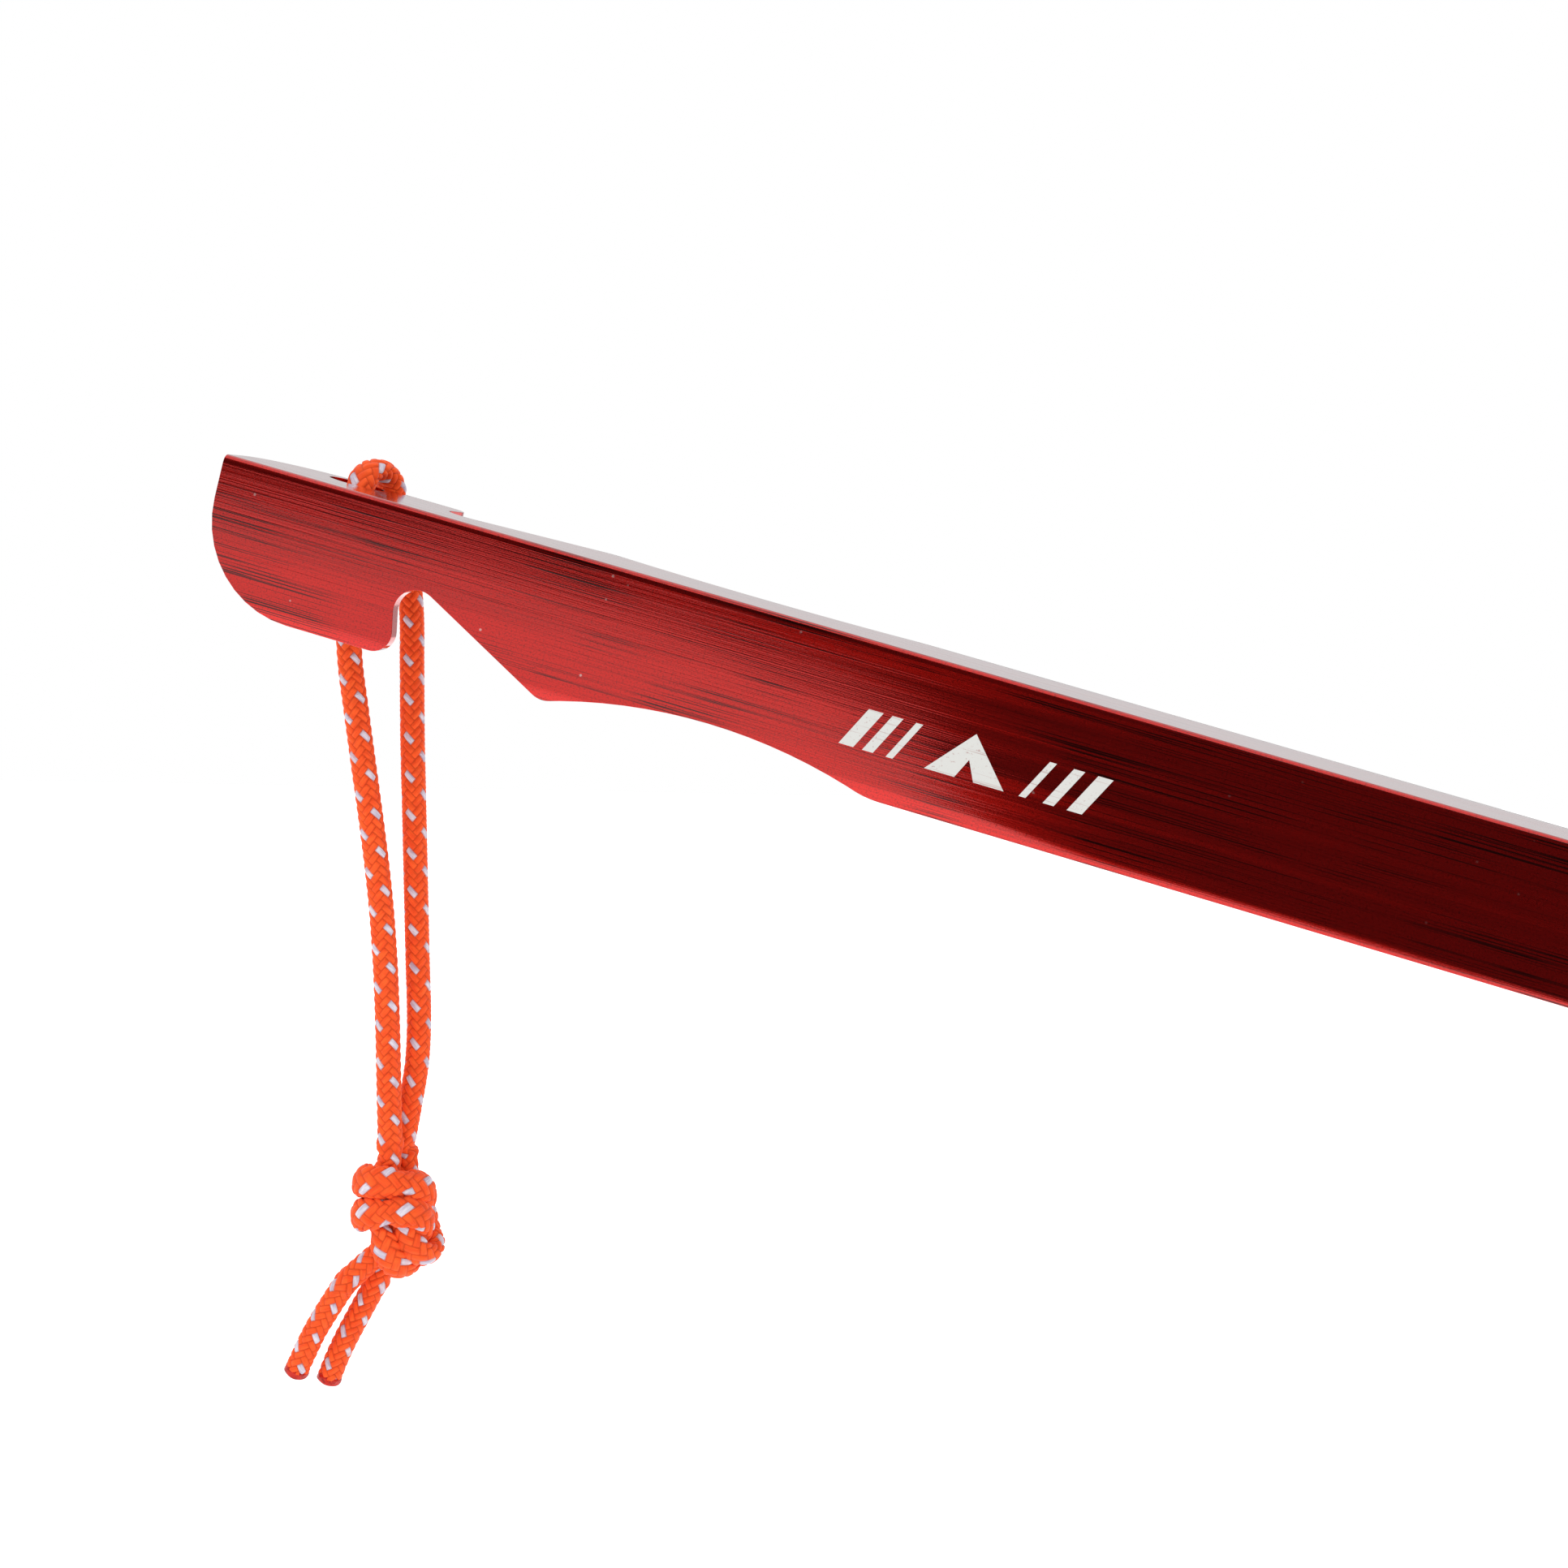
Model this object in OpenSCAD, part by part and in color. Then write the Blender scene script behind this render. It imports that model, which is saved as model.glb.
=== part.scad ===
// Angle-section tent stake with a knotted pull cord.
// The stake leans tip-down, as it is held when the pull cord hangs free.
// Frame: +X towards the tip, +Y away from the front flange, +Z up,
// origin on the spine at the depth mark of the shaft.

/* [Stake section] */
// Width of each flange, from the spine's outer corner to the free edge
flange_w = 15; // [13:0.5:18]
// Thickness of the flanges
wall = 1.5; // [1.2:0.1:2]
// Outer radius of the spine
spine_r = 0.8; // [0.4:0.1:1.2]
// Fillet between the two flanges
root_r = 0.7; // [0.4:0.1:1.2]

/* [Length and point] */
// Overall length along the spine
stake_len = 180; // [160:5:230]
// Length of the tapered point
point_len = 38; // [25:1:45]
// Flange width left at the very tip
tip_w = 2.6; // [2:0.2:4]
// Rounding where the taper leaves the free edge
point_r = 6; // [2:1:10]

/* [Head] */
// Radius of the head's outer corner
head_r = 10.5; // [8:0.5:12]
// Hook length, from the head end to the hook's tip
hook_len = 22; // [21.5:0.5:24]
// Rounding of the hook's tip
hook_r = 2; // [1:0.25:2.5]
// Undercut angle of the hook's inner wall
undercut = 10.5; // [6:0.5:14]
// Radius of the seat that the guyline lies in
seat_r = 2.35; // [2:0.05:2.6]
// Depth of that seat from the free edge
seat_depth = 7.25; // [6:0.25:8]
// Angle of the ramp that leads out of the notch
ramp_angle = 27.7; // [22:0.1:34]
// Rounding of the shoulder at the ramp's end
shoulder_r = 2.5; // [1:0.5:4]

/* [Finger scallop] */
// Position of the scallop's middle along the spine
scallop_x = 55; // [54:1:58]
// Radius of the scallop
scallop_r = 56; // [50:1:60]
// Depth of the scallop
scallop_depth = 2.65; // [2:0.05:3]
// Rounding where the scallop runs out into the shaft
runout_r = 10; // [4:1:12]

/* [Cord hole, rear flange only] */
// Diameter of the hole
hole_d = 5.8; // [5.6:0.1:6]
// Distance of the hole from the head end
hole_x = 10.3; // [10:0.1:10.6]
// Distance of the hole from the spine
hole_y = 10.9; // [10.7:0.1:11]

/* [Pull cord] */
// Cord diameter
cord_d = 2.7; // [2.4:0.1:2.8]
// Centreline radius of the bight round the hole's rim
bight_r = 2.5; // [2.45:0.05:2.8]
// Offset of the bight's two legs along X
bight_shift = 1.6; // [1.4:0.1:2.4]
// Drop from the rim's middle to the point where the legs tilt
tilt_drop = 3.2; // [3:0.1:4]
// Length of each melted cord end
melt_len = 0.8; // [0.5:0.1:1.2]

/* [Printed mark] */
// Distance of the mark's start from the head end
mark_x = 68; // [60:1:80]
// Height of the mark across the flange
mark_h = 4; // [3:0.5:5]
// Distance of the mark's middle from the spine
mark_drop = 8.5; // [6:0.5:9]
// Thickness of the ink
mark_t = 0.05; // [0.04:0.01:0.1]

/* [Frame] */
// Lean of the stake, tip down
lean = 15.5; // [15.4:0.05:15.6]
// Distance of the depth mark, the origin, from the head end
origin_x = 110; // [109.9:0.05:110.1]

/* [Hidden] */
$fn = 48;
joint_gap = 0.15;
arc_steps = 10;
scallop_steps = 16;
seat_steps = 14;
spare = 1;
cord_sides = 8;
bight_steps = 12;
cord_r = cord_d / 2;

// Rounding of the tip, as a share of its width.
tip_round = 0.6;

// Seat of the guyline: an arc that turns from the ramp to the hook's wall.
seat_x = hook_len - (seat_depth - seat_r) * tan(undercut) - seat_r / cos(undercut) + 2 * seat_r;
seat_y = flange_w - seat_depth + seat_r;
seat_turn = 90 + ramp_angle + undercut;
seat_arc = [for (i = [0:seat_steps]) let (a = 90 - ramp_angle + seat_turn * i / seat_steps)
            [seat_x + seat_r * cos(a), seat_y - seat_r * sin(a), 0]];

// Finger scallop: an arc between the two points where it meets the free edge.
scallop_turn = acos(1 - scallop_depth / scallop_r);
scallop_half = scallop_r * sin(scallop_turn);
scallop_arc = [for (i = [1:scallop_steps - 1]) let (a = scallop_turn * (1 - 2 * i / scallop_steps))
               [scallop_x + scallop_r * sin(a),
                flange_w - scallop_depth + scallop_r * (1 - cos(a)), 0]];

// Printed mark: a tent between two groups of leaning bars, along the flange.
bar_step = 2.4;
bar_wide = 1.5;
bar_thin = 0.7;
bar_change = 0.4;
far_bars_x = 18.2;
tent_x = 12.7;
tent_half = 4;
tent_rise = 0.6;
door_half = 1;
door_below = 0.1;

// Rim of metal between the cord hole and the free edge: the bight turns round it.
rim_x = -95.1;
rim_y = (hole_y + hole_d / 2 + flange_w) / 2;
rim_z = 25.6;
rim_mid = [rim_x, rim_y, rim_z];
leg_in = rim_mid + [-bight_shift / 2, -bight_r, -tilt_drop];
leg_out = rim_mid + [bight_shift / 2, bight_r, -tilt_drop];

// Routes of the cord, from the bight downwards.
route_in = [leg_in, [-96.9, 11.8, 18], [-97.6, 11.9, 13], [-97.6, 12, 8], [-97.1, 12.2, 3],
            [-96.4, 12.3, -3], [-95.6, 12.5, -10], [-94.9, 12.6, -17], [-94.5, 12.7, -24],
            [-94.4, 12.9, -31], [-94.4, 13, -38], [-94.4, 13.1, -44], [-94.4, 13.4, -48]];
route_out = [leg_out, [-92.9, 17, 18], [-92.4, 16.9, 13], [-92.4, 16.8, 8], [-92.4, 16.6, 0],
             [-92.3, 16.5, -8], [-92.2, 16.4, -16], [-92.1, 16.3, -24], [-92, 16.2, -31],
             [-92.3, 16.1, -36], [-93.2, 16, -41], [-93.9, 15.8, -45], [-94.2, 15.6, -48]];
route_tail_front = [[-96.6, 13.6, -55], [-98.6, 13.4, -58.2], [-101, 13.4, -61.5],
                    [-103.2, 13.6, -65], [-104.8, 13.8, -68], [-105.9, 14, -70.2]];
route_tail_rear = [[-94.6, 16, -55.5], [-96.4, 15.9, -59], [-98.4, 15.8, -62.6],
                   [-100.4, 15.7, -66.2], [-101.8, 15.7, -69], [-102.8, 15.7, -71.4]];

// Angles of the rings that round off the top of a strand.
dome_angles = [75, 50, 25];

// Lumps of the knot: middle and radius.
knot_facets = 24;
knot_lumps = [[[-97, 14.4, -50.8], 2.6], [[-92.4, 14.4, -50.6], 2.6], [[-94.8, 14.4, -50.6], 4.2],
              [[-91.6, 14.4, -55.2], 2.5], [[-93.6, 14.4, -57], 2.4], [[-95.8, 14.4, -54.4], 3]];

// Route of the bight: a half turn over the rim, with a short stretch down each side.
bight_end = tilt_drop - cord_r - joint_gap;
bight_turn = [for (i = [0:bight_steps]) let (a = 180 * i / bight_steps)
              rim_mid + [-bight_shift / 2 * cos(a), -bight_r * cos(a), bight_r * sin(a)]];
route_bight = concat([bight_turn[0] - [0, 0, bight_end]], bight_turn,
                     [bight_turn[bight_steps] - [0, 0, bight_end]]);

function unit(v) = v / norm(v);

// Direction of a route at point i.
function heading(pts, i) = unit(pts[min(i + 1, len(pts) - 1)] - pts[max(i - 1, 0)]);

// One ring of a tube round point i of a route.
function ring(pts, i, r) =
    let (t = heading(pts, i), a = unit(cross(t, [1, 0, 0])), b = cross(t, a))
    [for (k = [0:cord_sides - 1])
        pts[i] + r * (cos(360 * k / cord_sides) * a + sin(360 * k / cord_sides) * b)];

// Points of a circular arc that rounds corner b of the corner a, b, c.
function rounded(a, b, c) =
    let (p = [b[0], b[1]], u = unit([a[0], a[1]] - p), v = unit([c[0], c[1]] - p),
         half = acos(u * v) / 2, mid = p + unit(u + v) * b[2] / sin(half),
         from = p + u * b[2] / tan(half) - mid, to = p + v * b[2] / tan(half) - mid,
         sweep = atan2(from[0] * to[1] - from[1] * to[0], from * to))
    b[2] == 0 ? [p] :
    [for (i = [0:arc_steps]) let (t = sweep * i / arc_steps)
        mid + [from[0] * cos(t) - from[1] * sin(t), from[0] * sin(t) + from[1] * cos(t)]];

function rounded_outline(corners) =
    [for (i = [0:len(corners) - 1])
        each rounded(corners[(i + len(corners) - 1) % len(corners)], corners[i],
                     corners[(i + 1) % len(corners)])];

// Places the stake's own axes, along and down from the spine, in the part's frame.
module lean_stake() {
    rotate([0, lean, 0]) translate([-origin_x, 0, 0]) children();
}

// Outline of a flange: point, scallop, shoulder, ramp, guyline seat, hook and head.
// It runs past the spine, where the section itself ends the metal.
module flange_outline() {
    polygon(rounded_outline(concat(
        [[0, -spare, 0],
         [stake_len, -spare, 0],
         [stake_len, tip_w, tip_w * tip_round],
         [stake_len - point_len, flange_w, point_r],
         [scallop_x + scallop_half, flange_w, runout_r]],
        scallop_arc,
        [[scallop_x - scallop_half, flange_w, shoulder_r]],
        seat_arc,
        [[hook_len, flange_w, hook_r],
         [0, flange_w, head_r]])));
}

// The extruded bar: an angle section with a rounded spine and a fillet in its root,
// a little longer and wider than the finished stake.
module angle_bar() {
    translate([-spare, 0, 0]) rotate([90, 0, 90]) linear_extrude(stake_len + 2 * spare)
        mirror([0, 1]) polygon(rounded_outline([
            [0, 0, spine_r],
            [flange_w + spare, 0, 0],
            [flange_w + spare, wall, 0],
            [wall, wall, root_r],
            [wall, flange_w + spare, 0],
            [0, flange_w + spare, 0]]));
}

// The bar punched to the same outline through both flanges, and drilled for the cord.
module stake_body() {
    color("firebrick") lean_stake() difference() {
        intersection() {
            angle_bar();
            translate([0, flange_w + 2 * spare, 0]) rotate([90, 0, 0])
                linear_extrude(flange_w + 4 * spare) mirror([0, 1]) flange_outline();
            translate([0, 0, -flange_w - 2 * spare]) linear_extrude(flange_w + 4 * spare)
                flange_outline();
        }
        translate([hole_x, hole_y, -wall - spare]) cylinder(h = wall + 2 * spare, d = hole_d);
    }
}

// A leaning bar of the mark, w wide.
module mark_bar(w) {
    polygon([[0, 0], [w, 0], [w + mark_h / 2, mark_h], [mark_h / 2, mark_h]]);
}

// A plain ridge tent with an open door, between two groups of bars.
module mark_shape() {
    for (i = [0:2]) {
        translate([i * bar_step, 0]) mark_bar(bar_wide - bar_change * i);
        translate([far_bars_x + i * bar_step, 0]) mark_bar(bar_thin + bar_change * i);
    }
    translate([tent_x, 0]) difference() {
        polygon([[-tent_half, 0], [tent_half, 0], [0, mark_h + tent_rise]]);
        polygon([[-door_half, -door_below], [door_half, -door_below], [0, mark_h / 2]]);
    }
}

module printed_mark() {
    color("whitesmoke") lean_stake() translate([mark_x, 0, -mark_drop - mark_h / 2])
        rotate([90, 0, 0]) linear_extrude(mark_t) mark_shape();
}

// Solid through rings of points, all with the same number of sides.
module ring_solid(rings) {
    sides = cord_sides;
    last = len(rings) - 1;
    polyhedron(
        points = [for (r = rings) each r],
        faces = concat(
            [[for (k = [0:sides - 1]) k]],
            [for (i = [0:last - 1]) for (k = [0:sides - 1]) let (n = (k + 1) % sides)
                each [[i * sides + k, (i + 1) * sides + k, (i + 1) * sides + n],
                      [i * sides + k, (i + 1) * sides + n, i * sides + n]]],
            [[for (k = [sides - 1:-1:0]) last * sides + k]]));
}

// Plain tube of the cord along a route.
module cord_tube(route) {
    ring_solid([for (i = [0:len(route) - 1]) ring(route, i, cord_r)]);
}

// A strand hangs from its bight on a round top, which tilts without touching it.
module strand(route) {
    back = -cord_r * heading(route, 0);
    dome = [for (a = dome_angles) [for (p = ring(route, 0, cord_r * cos(a))) p + sin(a) * back]];
    tube = [for (i = [0:len(route) - 1]) ring(route, i, cord_r)];
    color("orangered") ring_solid(concat(dome, tube));
}

module cord_bight() {
    color("orangered") cord_tube(route_bight);
}

module strand_inner() {
    strand(route_in);
}

module strand_outer() {
    strand(route_out);
}

// Outer shape of the overhand knot tied in both strands.
module knot() {
    color("orangered") hull()
        for (lump = knot_lumps)
            translate(lump[0]) sphere(lump[1], $fn = knot_facets);
}

module tail_front() {
    color("orangered") cord_tube(route_tail_front);
}

module tail_rear() {
    color("orangered") cord_tube(route_tail_rear);
}

// Melted end: a short plug on the last ring of a tail.
module melted_end(route) {
    last = len(route) - 1;
    t = heading(route, last);
    color("darkred") translate(route[last])
        rotate([0, acos(t[2]), atan2(t[1], t[0])]) cylinder(h = melt_len, r = cord_r);
}

module melted_end_front() {
    melted_end(route_tail_front);
}

module melted_end_rear() {
    melted_end(route_tail_rear);
}

stake_body();
printed_mark();
cord_bight();
strand_inner();
strand_outer();
knot();
tail_front();
tail_rear();
melted_end_front();
melted_end_rear();
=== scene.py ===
"""Looks of the angle-section tent stake and its knotted pull cord.

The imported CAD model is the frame. The stake gets a copy of its own mesh with broken edges and a
red anodised finish, the printed mark gets white ink, and the pull cord is one braided cord that
runs from one melted end through the knot, round the rim of the hole and back. All lengths are in
metres unless a name ends in _mm or a docstring says millimetres.
"""
import logging
import math
from dataclasses import dataclass
from enum import Enum
from typing import Optional, Sequence, Union

import bmesh
import bpy
import numpy as np
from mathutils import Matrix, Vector


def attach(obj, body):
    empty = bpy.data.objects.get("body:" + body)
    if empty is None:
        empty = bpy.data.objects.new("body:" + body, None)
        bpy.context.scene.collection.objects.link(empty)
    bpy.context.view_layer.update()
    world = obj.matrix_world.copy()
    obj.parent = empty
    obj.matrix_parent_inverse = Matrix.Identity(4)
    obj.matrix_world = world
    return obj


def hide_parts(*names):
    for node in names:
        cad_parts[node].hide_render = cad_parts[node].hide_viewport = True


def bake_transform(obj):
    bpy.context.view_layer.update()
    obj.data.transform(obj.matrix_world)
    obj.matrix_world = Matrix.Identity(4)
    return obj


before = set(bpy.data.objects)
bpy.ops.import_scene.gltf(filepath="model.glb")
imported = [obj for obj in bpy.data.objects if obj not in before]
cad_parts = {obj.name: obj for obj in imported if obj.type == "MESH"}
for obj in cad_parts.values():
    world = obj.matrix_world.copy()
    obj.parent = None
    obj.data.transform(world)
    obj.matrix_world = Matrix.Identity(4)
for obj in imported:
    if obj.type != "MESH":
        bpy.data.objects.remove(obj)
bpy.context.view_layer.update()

LOG = logging.getLogger("tent_stake")
MM = 0.001
LEAN_DEG = 15.5

Point = tuple[float, float, float]
Span = tuple[float, float]
Source = Union[bpy.types.NodeSocket, float, tuple]


class Body(str, Enum):
    """Bodies of the CAD frame that pieces ride on."""

    STAKE = "stake"
    BIGHT = "loop_bight"
    LOOP = "pull_loop"


class Slot(str, Enum):
    """Names of material slots of the record; the pieces here are not given them."""

    METAL = "anodised_aluminium"
    CORD = "braided_cord"
    MELT = "melted_cord_end"


class Kind(str, Enum):
    """Kinds of node that the finishes use."""

    COORDINATES = "ShaderNodeTexCoord"
    ATTRIBUTE = "ShaderNodeAttribute"
    GEOMETRY = "ShaderNodeNewGeometry"
    PLACE = "ShaderNodeMapping"
    AXES = "ShaderNodeSeparateXYZ"
    NOISE = "ShaderNodeTexNoise"
    CELLS = "ShaderNodeTexVoronoi"
    MATH = "ShaderNodeMath"
    RANGE = "ShaderNodeMapRange"
    MIX = "ShaderNodeMix"
    BUMP = "ShaderNodeBump"
    SURFACE = "ShaderNodeBsdfPrincipled"
    OUTPUT = "ShaderNodeOutputMaterial"


def linear(colour: str) -> tuple[float, float, float, float]:
    """Converts an sRGB hex colour to linear RGBA.

    Args:
        colour: Six hex digits after a hash.

    Returns:
        The linear red, green, blue and an alpha of one.
    """
    channels = [int(colour[i : i + 2], 16) / 255 for i in (1, 3, 5)]
    rgb = [c / 12.92 if c <= 0.04045 else ((c + 0.055) / 1.055) ** 2.4 for c in channels]
    return (rgb[0], rgb[1], rgb[2], 1.0)


def repeats(*sizes_mm: float) -> Point:
    """Texture scale for features of a real size.

    Args:
        *sizes_mm: Size along X, Y and Z, or one size for all three.

    Returns:
        Features per metre along each axis.
    """
    sizes = sizes_mm if len(sizes_mm) == 3 else sizes_mm * 3
    return (1 / (sizes[0] * MM), 1 / (sizes[1] * MM), 1 / (sizes[2] * MM))


# ---------------------------------------------------------------- camera


@dataclass(frozen=True)
class CameraView:
    """Where the picture is taken from."""

    location: Point = (-0.00538, -0.2335, 0.0201)
    forward: Point = (-0.1814, 0.9786, -0.0969)
    lens_mm: float = 56.0
    sensor_mm: float = 36.0
    nearest: float = 0.01
    farthest: float = 20.0

    def make(self) -> None:
        """Makes the scene's camera."""
        data = bpy.data.cameras.new("camera")
        data.lens = self.lens_mm
        data.sensor_width = self.sensor_mm
        data.clip_start = self.nearest
        data.clip_end = self.farthest
        camera = bpy.data.objects.new("camera", data)
        camera.location = self.location
        camera.rotation_euler = Vector(self.forward).to_track_quat("-Z", "Y").to_euler()
        bpy.context.scene.collection.objects.link(camera)
        bpy.context.scene.camera = camera


# ---------------------------------------------------------------- node helper


class Graph:
    """Builds one material's nodes."""

    def __init__(self, name: str) -> None:
        """Makes an empty node material.

        Args:
            name: Name of the material.
        """
        self.material = bpy.data.materials.new(name)
        self.material.use_nodes = True
        self.tree = self.material.node_tree
        self.tree.nodes.clear()

    def add(
        self,
        kind: Kind,
        inputs: Union[Sequence[Source], dict[Union[str, int], Source]] = (),
        out: Union[str, int] = 0,
        **settings: object,
    ) -> Optional[bpy.types.NodeSocket]:
        """Adds a node, sets its properties and joins its inputs.

        Args:
            kind: Kind of the node.
            inputs: Values, or output sockets that feed the node, in the order of its own sockets
                or by a socket's name or number.
            out: Name or number of the output that is given back.
            **settings: Properties of the node.

        Returns:
            The wanted output socket, or None for a node that has no output.
        """
        node = self.tree.nodes.new(kind.value)
        for key, value in settings.items():
            setattr(node, key, value)
        for key, value in inputs.items() if isinstance(inputs, dict) else enumerate(inputs):
            if isinstance(value, bpy.types.NodeSocket):
                self.tree.links.new(value, node.inputs[key])
            else:
                node.inputs[key].default_value = value
        return node.outputs[out] if len(node.outputs) else None


def stake_axes(graph: Graph) -> bpy.types.NodeSocket:
    """Object coordinates turned so that X runs along the leaning stake.

    Args:
        graph: Material that gets the nodes.

    Returns:
        The turned coordinates.
    """
    local = graph.add(Kind.COORDINATES, out="Object")
    turn = (0.0, -math.radians(LEAN_DEG), 0.0)
    return graph.add(Kind.PLACE, {"Vector": local, "Rotation": turn})


# ---------------------------------------------------------------- finishes


@dataclass(frozen=True)
class AnodisedRed:
    """Extruded aluminium, dyed red and sealed: a clear hard layer over coloured metal."""

    base: str = "#CF160B"
    worn: str = "#D8352E"
    line: str = "#430303"
    dust: str = "#D9A9A4"
    line_mm: Point = (42.0, 0.14, 0.14)
    line_cut: Span = (0.56, 0.58)
    bundle_mm: Point = (19.0909, 6.25, 6.25)
    bundle_cut: Span = (0.44, 0.56)
    outside_bundles: float = 0.2
    streak_mm: Point = (70.0, 1.16667, 1.16667)
    streak_cut: Span = (0.35, 0.65)
    roughness: Span = (0.07, 0.19)
    grain_mm: float = 0.2
    grain_cut: Span = (0.5, 0.7)
    grain_share: float = 0.5
    edge_cut: Span = (0.53, 0.6)
    edge_share: float = 0.55
    rub_cut: Span = (0.4, 0.6)
    rub_least: float = 0.2
    dust_spacing_mm: float = 3.0303
    dust_cut: Span = (0.035, 0.055)
    dust_share: float = 0.8
    grain_height: float = 0.35
    relief: float = 0.35
    relief_mm: float = 0.012
    coat_ior: float = 1.5
    coat_roughness: float = 0.07
    flange_mm: float = 15.0
    rolled_mm: float = 1.5
    roll_drop_mm: float = 0.11

    def make(self) -> bpy.types.Material:
        """Makes the finish.

        Returns:
            The material: long die lines give the flanges their drawn look, fine specks the
            etched grain under the dye, and pale dust sits on top of the clear layer.
        """
        g = Graph("red_anodised_extruded_aluminium")
        axes = stake_axes(g)
        # Die lines: thin dark scratches along the bar, in bundles with plainer metal between them.
        place = g.add(Kind.PLACE, {"Vector": axes, "Scale": repeats(*self.line_mm)})
        lines = g.add(Kind.NOISE, {"Vector": place, "Scale": 1.0, "Detail": 2.0})
        place = g.add(Kind.PLACE, {"Vector": axes, "Scale": repeats(*self.bundle_mm)})
        bundles = g.add(Kind.NOISE, {"Vector": place, "Scale": 1.0, "Detail": 2.0})
        deep = g.add(Kind.RANGE, (lines, *self.line_cut, 0.0, 1.0))
        where = g.add(Kind.RANGE, (bundles, *self.bundle_cut, self.outside_bundles, 1.0))
        scored = g.add(Kind.MATH, (deep, where), operation="MULTIPLY")
        red, dark = linear(self.base), linear(self.line)
        shade = g.add(Kind.MIX, {0: scored, 6: red, 7: dark}, out=2, data_type="RGBA")
        # Etched grain: the dye sits deeper in the fine pits, so the red looks slightly sandy.
        place = g.add(Kind.PLACE, {"Vector": axes, "Scale": repeats(self.grain_mm)})
        grain = g.add(Kind.NOISE, {"Vector": place, "Scale": 1.0, "Detail": 4.0})
        mottle = g.add(Kind.RANGE, (grain, *self.grain_cut, 0.0, self.grain_share))
        shade = g.add(Kind.MIX, {0: mottle, 6: shade, 7: dark}, out=2, data_type="RGBA")
        # Rubbed edges: the dye is paler where hands and soil wear the corners.
        pointy = g.add(Kind.GEOMETRY, out="Pointiness")
        edge = g.add(Kind.RANGE, (pointy, *self.edge_cut, 0.0, self.edge_share))
        uneven = g.add(Kind.RANGE, (grain, *self.rub_cut, self.rub_least, 1.0))
        rub = g.add(Kind.MATH, (edge, uneven), operation="MULTIPLY")
        shade = g.add(Kind.MIX, {0: rub, 6: shade, 7: linear(self.worn)}, out=2, data_type="RGBA")
        # Dust: a few pale specks on the clear layer.
        place = g.add(Kind.PLACE, {"Vector": axes, "Scale": repeats(self.dust_spacing_mm)})
        specks = g.add(Kind.CELLS, {"Vector": place, "Scale": 1.0}, out="Distance")
        dusty = g.add(Kind.RANGE, (specks, *self.dust_cut, self.dust_share, 0.0))
        shade = g.add(Kind.MIX, {0: dusty, 6: shade, 7: linear(self.dust)}, out=2, data_type="RGBA")
        # Drawn surface: wide soft streaks change the gloss, and all three patterns give relief.
        place = g.add(Kind.PLACE, {"Vector": axes, "Scale": repeats(*self.streak_mm)})
        streaks = g.add(Kind.NOISE, {"Vector": place, "Scale": 1.0, "Detail": 2.0})
        rough = g.add(Kind.RANGE, (streaks, *self.streak_cut, *self.roughness))
        drawn = g.add(Kind.MATH, (streaks, lines), operation="ADD")
        heights = g.add(Kind.MATH, (grain, self.grain_height, drawn), operation="MULTIPLY_ADD")
        relief = {
            "Height": heights, "Strength": self.relief, "Distance": self.relief_mm * MM,
            "Normal": self.rolled_edge(g, axes),
        }
        bump = g.add(Kind.BUMP, relief)
        metal = {
            "Base Color": shade, "Metallic": 1.0, "Roughness": rough, "Normal": bump,
            "Coat Weight": 1.0, "Coat IOR": self.coat_ior, "Coat Roughness": self.coat_roughness,
            "Coat Normal": bump,
        }
        g.add(Kind.OUTPUT, {"Surface": g.add(Kind.SURFACE, metal)})
        return g.material

    def rolled_edge(self, g: Graph, axes: bpy.types.NodeSocket) -> bpy.types.NodeSocket:
        """Turns the shading normal over near the free edges, where the flanges are drawn thinner.

        Args:
            g: Material that gets the nodes.
            axes: Coordinates with X along the stake.

        Returns:
            The turned normal.
        """
        across = g.add(Kind.AXES, (axes,), out="Y")
        up = g.add(Kind.AXES, (axes,), out="Z")
        down = g.add(Kind.MATH, (up, -1.0), operation="MULTIPLY")
        out = g.add(Kind.MATH, (down, across), operation="MAXIMUM")
        start, end = (self.flange_mm - self.rolled_mm) * MM, self.flange_mm * MM
        share = g.add(Kind.RANGE, (out, start, end, 0.0, 1.0))
        fall = g.add(Kind.MATH, (share, 2.0), operation="POWER")
        height = g.add(Kind.MATH, (1.0, fall), operation="SUBTRACT")
        drop = {"Height": height, "Strength": 1.0, "Distance": self.roll_drop_mm * MM}
        return g.add(Kind.BUMP, drop)


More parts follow.
